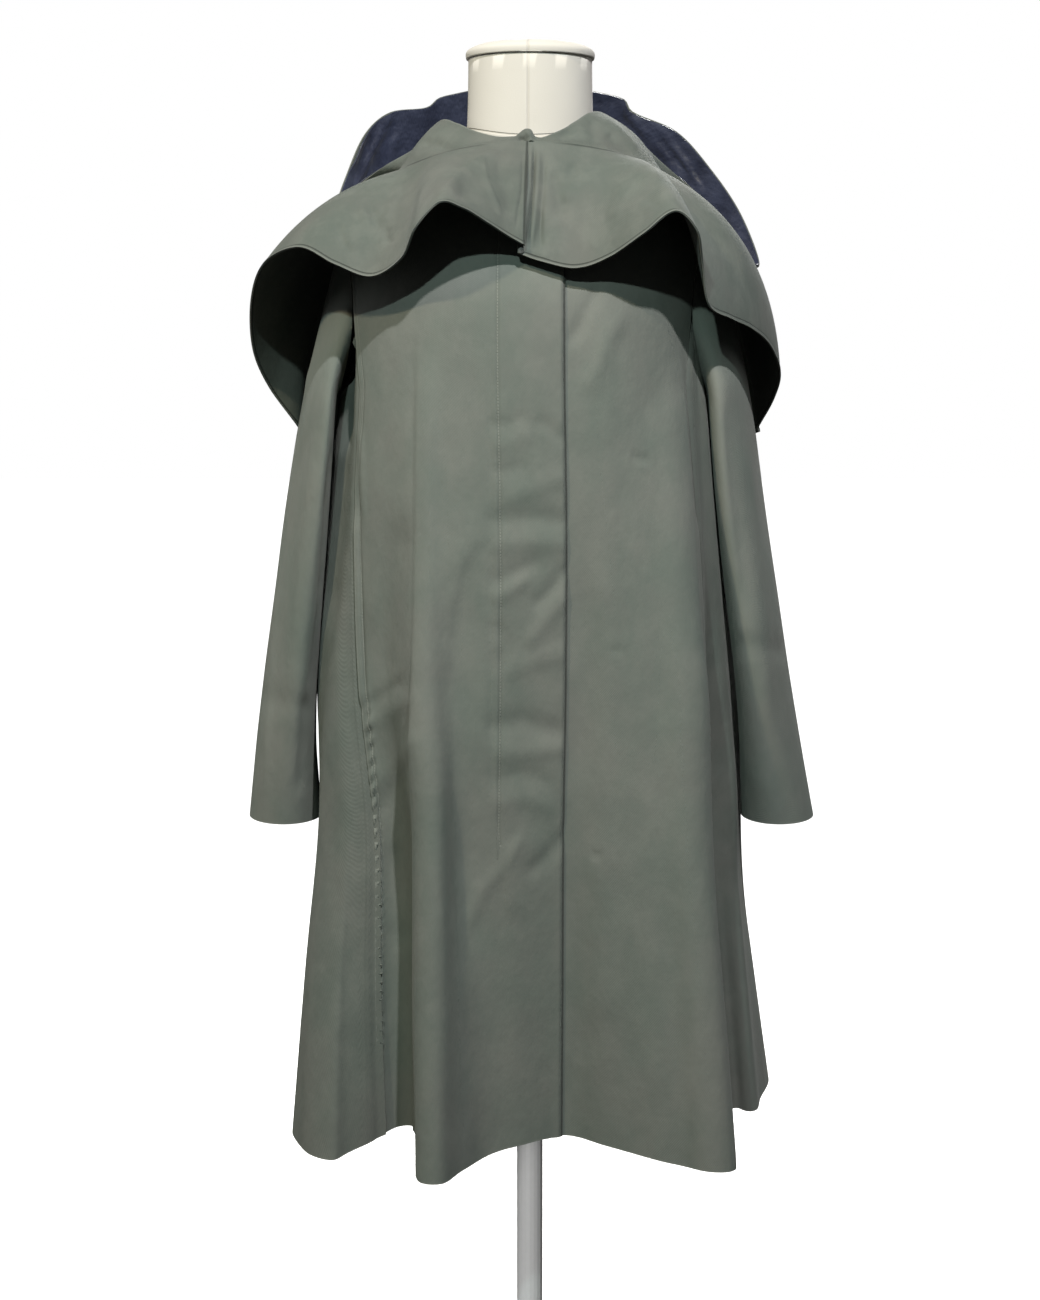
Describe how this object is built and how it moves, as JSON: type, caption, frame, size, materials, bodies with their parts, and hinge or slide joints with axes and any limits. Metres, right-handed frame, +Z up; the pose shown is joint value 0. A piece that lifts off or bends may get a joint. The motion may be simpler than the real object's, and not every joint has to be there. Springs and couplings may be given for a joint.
{
  "type": "trench coat on dress form",
  "caption": "Knee-length A-line coat with a flounced capelet, a lined hood thrown back and open sleeves, on a limbless dress form with a round base.",
  "frame": {"origin": "middle of the stand's flat underside, on the floor", "axes": "+Z up along the pole, -Y the way the coat faces, +X the viewer's right (the wearer's left)"},
  "size_m": [0.5416, 0.4644, 1.453],
  "materials": {
    "coat_cloth": "dark sage cotton gabardine, matt with a soft sheen",
    "hood_satin": "navy satin lining",
    "snap_metal": "small plated snap",
    "form_cover": "cream jersey over the form",
    "stand_metal": "satin light grey"
  },
  "bodies": {
    "root": {"back": "coat_cloth", "base_plate": "stand_metal", "capelet_left": "coat_cloth", "capelet_right": "coat_cloth", "capelet_snap": "snap_metal", "fly_placket": "coat_cloth", "form_torso": "form_cover", "hood_lining": "hood_satin", "hood_shell": "coat_cloth", "left_front": "coat_cloth", "left_pocket_welt": "coat_cloth", "left_side": "coat_cloth", "left_sleeve": "coat_cloth", "neck_cap": "form_cover", "pole": "stand_metal", "right_front": "coat_cloth", "right_pocket_welt": "coat_cloth", "right_side": "coat_cloth", "right_sleeve": "coat_cloth"}
  },
  "joints": []
}
